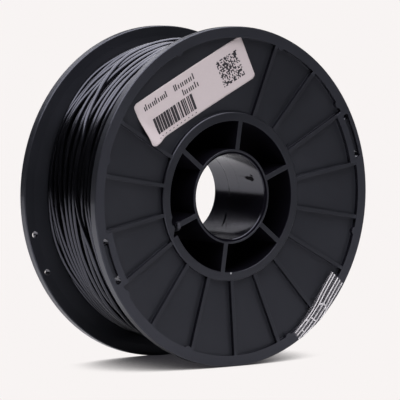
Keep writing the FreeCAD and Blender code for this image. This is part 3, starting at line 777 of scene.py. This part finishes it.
def thermal_print():
    """The dark grey of heated coating, a little uneven from the print head's dots."""
    material, tree = start_material("thermal_print")
    finish_material(tree, add_node(tree, "ShaderNodeBsdfPrincipled", {
        "Base Color": mottle(tree, PRINT_DOTS, PRINT_BLACK, PRINT_FADED), "Roughness": 0.5,
        "IOR": PAPER_IOR}))
    return material


def paper_sheet():
    """The label's paper: a grid of faces cut to its outline, thickened towards the panel."""
    points = []
    for row in range(LABEL_ROWS + 1):
        across = LABEL_WIDTH * (row / LABEL_ROWS - 0.5)
        half = rounded_end(across)
        points += [on_label(half * (2 * column / LABEL_COLUMNS - 1), across, LABEL_PAPER)
                   for column in range(LABEL_COLUMNS + 1)]
    sheet = make_piece("label_sheet", points, grid_faces(0, LABEL_COLUMNS, LABEL_ROWS), thermal_paper())
    thicken(sheet, LABEL_PAPER)
    sheet.data.shade_smooth()
    return sheet


def plain_bars(chance):
    """Upright bars of random width, with random gaps."""
    left, right, bottom, top = BAR_FIELD
    bars = []
    while left < right - BAR_LEAST:
        width = chance.choice(BAR_WIDTHS, p=BAR_ODDS)
        bars.append((left, min(left + width, right), bottom, top))
        left += width + chance.choice(GAP_WIDTHS, p=GAP_ODDS)
    return bars


def upright_strokes(chance):
    """Three rows of short strokes, some of them taller, at uneven steps."""
    strokes = []
    for left, right, bottom in STROKE_ROWS:
        while left < right:
            strokes.append((left, left + STROKE_WIDTH, bottom, bottom + chance.choice(STROKE_HEIGHTS)))
            left += chance.choice(STROKE_STEPS)
    return strokes


def row_of_dashes():
    """Small dashes under the bars."""
    (left, bottom), (width, height) = DASH_START, DASH_SIZE
    return [(left + DASH_PITCH * dash, left + DASH_PITCH * dash + width, bottom, bottom + height)
            for dash in range(DASHES)]


def square_of_cells(chance):
    """A square field in which more than half of the cells are dark, at random."""
    cells = []
    for row in range(CELLS):
        for column in range(CELLS):
            if chance.random() < CELL_SHARE:
                left, bottom = CELL_START[0] + CELL * column, CELL_START[1] + CELL * row
                cells.append((left, left + CELL, bottom, bottom + CELL))
    return cells


def printed_marks():
    """All the print as one piece, each mark (left, right, bottom, top) cut up to follow the paper."""
    chance = np.random.default_rng(PRINT_SEED)
    marks = plain_bars(chance) + upright_strokes(chance) + row_of_dashes() + square_of_cells(chance)
    points, faces = [], []
    for left, right, bottom, top in marks:
        columns = max(1, round((right - left) / PRINT_CELL))
        rows = max(1, round((top - bottom) / PRINT_CELL))
        faces += grid_faces(len(points), columns, rows)
        points += [on_label((left + (right - left) * column / columns) * MM,
                            (bottom + (top - bottom) * row / rows) * MM, LABEL_PAPER + PRINT_PROUD)
                   for row in range(rows + 1) for column in range(columns + 1)]
    return make_piece("label_print", points, faces, thermal_print())


label_sheet = paper_sheet()
label_print = printed_marks()
for piece in (label_sheet, label_print):
    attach(piece, "root")
    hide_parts("paper_label")

# The tape strip
# A short strip of clear strapping tape on the front rim at the lower right, with five white glass
# yarns in it. It is creased in the middle, where the yarns cross, and laps over the rim's edge.
TAPE_PLACE = (64.5 * MM, -69.9 * MM)
TAPE_TILT = math.radians(50.5)
TAPE_FILM = 0.15 * MM
TAPE_BODY = 0.12 * MM
TAPE_SAG = 0.12
RIM_EDGE = 101.5 * MM
RIM_ROUND = 0.6 * MM
FILM_ROUND = 0.8 * MM
FILM_BEND = 1.26 * MM
YARN = 0.44 * MM
YARN_FLAT = 0.055 * MM
YARN_PROUD = 0.085 * MM
YARN_STEP = 0.7
OUTWARD_STEP = 0.05 * MM
YARN_SIDES = 8
YARN_WHITE = "#e6e3e4"
YARN_SHADE = "#dedbdc"
GLASS_BUNDLE = 0.6 * MM
GLASS_IOR = 1.5
FILM_HAZE = "#78767b"
FILM_RIPPLE = 5.0 * MM
FILM_GLOSS = (0.26, 0.34)
FILM_ALPHA = 0.18
POLYPROPYLENE_IOR = 1.49
# The film's outline in the tape's own millimetres, its grid, and how far its middle line sways.
FILM_START = (-24.0, -5.9)
FILM_SIZE = (47.0, 11.6)
FILM_COLUMNS = 48
FILM_ROWS = 12
FILM_SWAY = ((-24, -12, 0, 12, 23), (0.6, -0.4, -0.7, 0.1, 0.3))
# The yarns in the same millimetres: five along the tape, then the ends that cross it at the creases.
TAPE_LINES = (
    ((-23, 5.0), (-17, 4.1), (-12, 3.4), (-5, 2.8), (0, 3.0), (5, 3.5), (10, 3.9), (15, 4.2), (23, 4.6)),
    ((-23.5, 3.0), (-18, 2.0), (-12, 1.6), (-5, 1.2), (0, 1.1), (3, 1.3), (10, 2.0), (15, 2.3), (23, 2.7)),
    ((-24.5, 0.6), (-20, 0.0), (-15, -0.7), (-10, -1.1), (-5, -1.3), (5, -1.2), (10, -0.9), (22.6, -0.3)),
    ((-21, -1.0), (-18, -2.0), (-13, -3.0), (-8, -3.6), (0, -3.8), (5, -3.7), (10, -3.2), (22.6, -2.5)),
    ((-10, -5.2), (-5, -5.5), (1, -5.6), (5, -5.5), (10, -5.3), (15, -5.2), (22.2, -4.9)),
    ((-12.6, 3.7), (-11.6, 2.6), (-10.4, 1.5)),
    ((-18.4, 2.1), (-18.6, 1.0), (-18.2, -0.2)),
    ((-8.6, 1.4), (-8.2, -1.1), (-8.1, -3.5)),
    ((1.2, 1.4), (3.2, -0.6), (3.9, -2.2), (3.4, -3.9), (1.6, -5.6)),
)


def on_rim(along, across, proud):
    """A point of the tape: flat on the rim's face, sagging inside it and bent round its outer edge."""
    x = TAPE_PLACE[0] + along * math.cos(TAPE_TILT) - across * math.sin(TAPE_TILT)
    z = TAPE_PLACE[1] + along * math.sin(TAPE_TILT) + across * math.cos(TAPE_TILT)
    radius = math.hypot(x, z)
    over = radius - (RIM_EDGE - RIM_ROUND)
    depth = 0.0
    if over > 0:
        bend = min(over / FILM_ROUND, math.pi / 2)
        reach = RIM_EDGE - RIM_ROUND + (RIM_ROUND + proud) * math.sin(bend)
        depth = (RIM_ROUND + proud) * (1 - math.cos(bend)) + max(over - FILM_BEND, 0)
        x, z = x * reach / radius, z * reach / radius
    elif radius < RIM_INSIDE:
        depth = TAPE_SAG * (RIM_INSIDE - radius)
    return (x, front_face - proud + depth, z)


def spread_points(line, gap):
    """Evenly spaced points along a polyline in the tape's own coordinates."""
    steps = [math.dist(one, two) for one, two in zip(line, line[1:])]
    travel = np.concatenate([[0], np.cumsum(steps)])
    stops = np.linspace(0, travel[-1], max(3, round(travel[-1] / gap)))
    return list(zip(np.interp(stops, travel, [point[0] for point in line]),
                    np.interp(stops, travel, [point[1] for point in line])))


def yarn_rings(line):
    """The sections of one flattened yarn along its line, kept within the film."""
    stops = spread_points(line, YARN_STEP)
    middles = [Vector(on_rim(along * MM, across * MM, YARN_PROUD)) for along, across in stops]
    above = [Vector(on_rim(along * MM, across * MM, YARN_PROUD + OUTWARD_STEP)) for along, across in stops]
    rings = []
    for number, middle in enumerate(middles):
        onward = middles[min(number + 1, len(middles) - 1)] - middles[max(number - 1, 0)]
        outward = (above[number] - middle).normalized()
        sideways = outward.cross(onward).normalized()
        ring = []
        for side in range(YARN_SIDES):
            turn = 2 * math.pi * side / YARN_SIDES
            point = middle + sideways * YARN * math.cos(turn) + outward * YARN_FLAT * math.sin(turn)
            point.y = max(point.y, front_face - TAPE_FILM)
            ring.append(point)
        rings.append(ring)
    return rings


def glass_yarn():
    """Bundles of fine glass fibre: white, and a little uneven where the bundles turn."""
    material, tree = start_material("glass_yarn")
    finish_material(tree, add_node(tree, "ShaderNodeBsdfPrincipled", {
        "Base Color": mottle(tree, GLASS_BUNDLE, YARN_WHITE, YARN_SHADE), "Roughness": 0.4,
        "IOR": GLASS_IOR}))
    return material


def clear_film():
    """Stretched polypropylene: clear and glossy, with a faint grey haze and soft ripples in its gloss."""
    material, tree = start_material("clear_polypropylene_film")
    ripples = add_node(tree, "ShaderNodeTexNoise", {
        "Vector": add_node(tree, "ShaderNodeTexCoord").outputs["Object"], "Scale": 1 / FILM_RIPPLE,
        "Detail": 2.0})
    gloss = add_node(tree, "ShaderNodeMapRange", {
        "Value": ripples.outputs["Fac"], "From Min": NOISE_LOW, "From Max": NOISE_HIGH,
        "To Min": FILM_GLOSS[0], "To Max": FILM_GLOSS[1]})
    finish_material(tree, add_node(tree, "ShaderNodeBsdfPrincipled", {
        "Base Color": linear(FILM_HAZE), "Roughness": gloss.outputs[0], "IOR": POLYPROPYLENE_IOR,
        "Alpha": FILM_ALPHA}))
    return material


def film_points():
    """The film's grid of points, with its edges swaying as the strip was laid."""
    points = []
    for row in range(FILM_ROWS + 1):
        for column in range(FILM_COLUMNS + 1):
            along = FILM_START[0] + FILM_SIZE[0] * column / FILM_COLUMNS
            across = FILM_START[1] + FILM_SIZE[1] * row / FILM_ROWS + float(np.interp(along, *FILM_SWAY))
            points.append(on_rim(along * MM, across * MM, TAPE_FILM))
    return points


yarn_points, yarn_faces = [], []
for line in TAPE_LINES:
    add_tube(yarn_points, yarn_faces, yarn_rings(line))
tape_yarns = make_piece("tape_yarns", yarn_points, yarn_faces, glass_yarn())
tape_yarns.data.shade_smooth()
film_strip = make_piece("tape_film_strip", film_points(), grid_faces(0, FILM_COLUMNS, FILM_ROWS),
                        clear_film())
film_strip.data.shade_smooth()
thicken(film_strip, TAPE_BODY)
for piece in (tape_yarns, film_strip):
    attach(piece, "root")
    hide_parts("tape_strip")

# The studio
# A white table under one wide softbox, with a weak softbox and a side board in front, a narrow softbox
# behind, and the room dark at the horizon. The camera sees table and backdrop as white, with the spool's
# shadow painted on the table from ambient occlusion.
PAPER_WHITE = "#f8f4f3"
# Painted shadow: the camera sees the table darken to this core where ambient occlusion over this reach
# closes it, easing in with this power.
SHADOW_CORE = "#2a292d"
TABLE_BOUNCE = "#d7d6d4"
DAYLIGHT = "#faf9ff"
TABLE_REACH = 1.0
TABLE_NEAR = 0.35
SHADOW_REACH = 0.4
SHADOW_OPENING = (0.06, 0.5)
SHADOW_POWER = 1.8
# The room's faint light, and the glow that is added high up behind the spool, with the height and the
# depth of a direction between which that glow comes up.
ROOM_DARK = 0.01
ROOM_GLOW = 0.03
GLOW_HEIGHT = (0.40, 0.52)
GLOW_DEPTH = (0.0, 0.4)


def sweep_paper_painted_shadow():
    """Matt white paper, drawn white for the camera with a painted shadow, dark where the spool closes it
    off.
    """
    material, tree = start_material("sweep_paper_painted_shadow")
    card = add_node(tree, "ShaderNodeBsdfDiffuse", {"Color": linear(TABLE_BOUNCE)})
    # Painted shadow: for the camera the table emits a tone from the shadow core to paper white, set by
    # ambient occlusion, not by the lamps.
    opening = add_node(tree, "ShaderNodeAmbientOcclusion", {"Distance": SHADOW_REACH}, samples=24)
    exposed = add_node(tree, "ShaderNodeMapRange", {
        "Value": opening.outputs["AO"], "From Min": SHADOW_OPENING[0], "From Max": SHADOW_OPENING[1]})
    falloff = add_node(tree, "ShaderNodeMath", {0: exposed.outputs[0], 1: SHADOW_POWER}, operation="POWER")
    tone = add_node(tree, "ShaderNodeMix", {
        "Factor": falloff.outputs[0], 6: linear(SHADOW_CORE), 7: linear(PAPER_WHITE)}, data_type="RGBA")
    seen = add_node(tree, "ShaderNodeEmission", {"Color": tone.outputs[2]})
    rays = add_node(tree, "ShaderNodeLightPath").outputs
    finish_material(tree, add_node(tree, "ShaderNodeMixShader", {
        0: rays["Is Camera Ray"], 1: card.outputs[0], 2: seen.outputs[0]}))
    return material


def studio_room():
    """White to the camera, and to the object nearly dark, with a weak glow high up behind it."""
    world = bpy.data.worlds.new("studio_world")
    world.use_nodes = True
    tree = world.node_tree
    tree.nodes.clear()
    rays = add_node(tree, "ShaderNodeLightPath").outputs
    seen = add_node(tree, "ShaderNodeBackground", {"Color": linear(PAPER_WHITE), "Strength": 1.0})
    toward = add_node(tree, "ShaderNodeSeparateXYZ", {
        0: add_node(tree, "ShaderNodeTexCoord").outputs["Generated"]}).outputs
    above = add_node(tree, "ShaderNodeMapRange", {
        "Value": toward["Z"], "From Min": GLOW_HEIGHT[0], "From Max": GLOW_HEIGHT[1]},
        interpolation_type="SMOOTHSTEP")
    behind = add_node(tree, "ShaderNodeMapRange", {
        "Value": toward["Y"], "From Min": GLOW_DEPTH[0], "From Max": GLOW_DEPTH[1], "To Max": ROOM_GLOW},
        interpolation_type="SMOOTHSTEP")
    strength = add_node(tree, "ShaderNodeMath", {
        0: above.outputs[0], 1: behind.outputs[0], 2: ROOM_DARK}, operation="MULTIPLY_ADD")
    around = add_node(tree, "ShaderNodeBackground", {
        "Color": linear(DAYLIGHT), "Strength": strength.outputs[0]})
    both = add_node(tree, "ShaderNodeMixShader", {
        0: rays["Is Camera Ray"], 1: around.outputs[0], 2: seen.outputs[0]})
    add_node(tree, "ShaderNodeOutputWorld", {0: both.outputs[0]})
    return world


def soft_light(name, place, aim, wide, deep, radiance):
    """A rectangular softbox of a given radiance, turned to its aim."""
    lamp = bpy.data.lights.new(name, "AREA")
    lamp.shape = "RECTANGLE"
    lamp.size = wide
    lamp.size_y = deep
    lamp.color = linear(DAYLIGHT)[:3]
    lamp.energy = radiance * math.pi * wide * deep
    holder = bpy.data.objects.new(name, lamp)
    holder.location = place
    holder.rotation_euler = (Vector(aim) - Vector(place)).to_track_quat("-Z", "Y").to_euler()
    bpy.context.scene.collection.objects.link(holder)


table_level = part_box("front_half")[0].z
floor = make_piece("studio_floor", (
    (-TABLE_REACH, -TABLE_NEAR, table_level), (TABLE_REACH, -TABLE_NEAR, table_level),
    (TABLE_REACH, TABLE_REACH, table_level), (-TABLE_REACH, TABLE_REACH, table_level)),
    [(0, 1, 2, 3)], sweep_paper_painted_shadow())
bpy.context.scene.world = studio_room()
soft_light("overhead_softbox", place=(-0.2, 0.1, 0.9), aim=(-0.2, 0.1, 0.0),
           wide=1.6, deep=2.0, radiance=4.6)
soft_light("front_softbox", place=(-0.05, -0.85, -0.05), aim=(0, 0, 0),
           wide=0.42, deep=0.6, radiance=1.75)
soft_light("side_board", place=(1.05, -0.95, 0.25), aim=(0, 0, 0.05),
           wide=0.55, deep=1.0, radiance=0.08)
soft_light("back_softbox", place=(0.22, 1.2, 0.74), aim=(0, 0, 0),
           wide=0.5, deep=0.24, radiance=0.45)

# The camera
# It stands to the left of the labelled flange and a little above the spool's middle, and looks at a
# point beside the middle, which puts the spool where the photograph has it.
CAMERA_AZIMUTH = math.radians(-36.64)
CAMERA_RISE = math.radians(3.58)
CAMERA_DISTANCE = 1.8757
AIM_RIGHT = 2.60 * MM
AIM_UP = -3.86 * MM
LENS = 278.6
SENSOR = 36.0
FAR_CLIP = 20.0
stand = Vector((math.cos(CAMERA_RISE) * math.sin(CAMERA_AZIMUTH),
                -math.cos(CAMERA_RISE) * math.cos(CAMERA_AZIMUTH),
                math.sin(CAMERA_RISE))) * CAMERA_DISTANCE
sight = -stand.normalized()
side = sight.cross(Vector((0, 0, 1))).normalized()
aim = side * AIM_RIGHT + side.cross(sight) * AIM_UP
lens = bpy.data.cameras.new("camera")
lens.lens = LENS
lens.sensor_width = SENSOR
lens.clip_end = FAR_CLIP
camera = bpy.data.objects.new("camera", lens)
camera.location = stand
camera.rotation_euler = (aim - stand).to_track_quat("-Z", "Y").to_euler()
bpy.context.scene.collection.objects.link(camera)
bpy.context.scene.camera = camera
bpy.context.scene.view_settings.view_transform = "Standard"
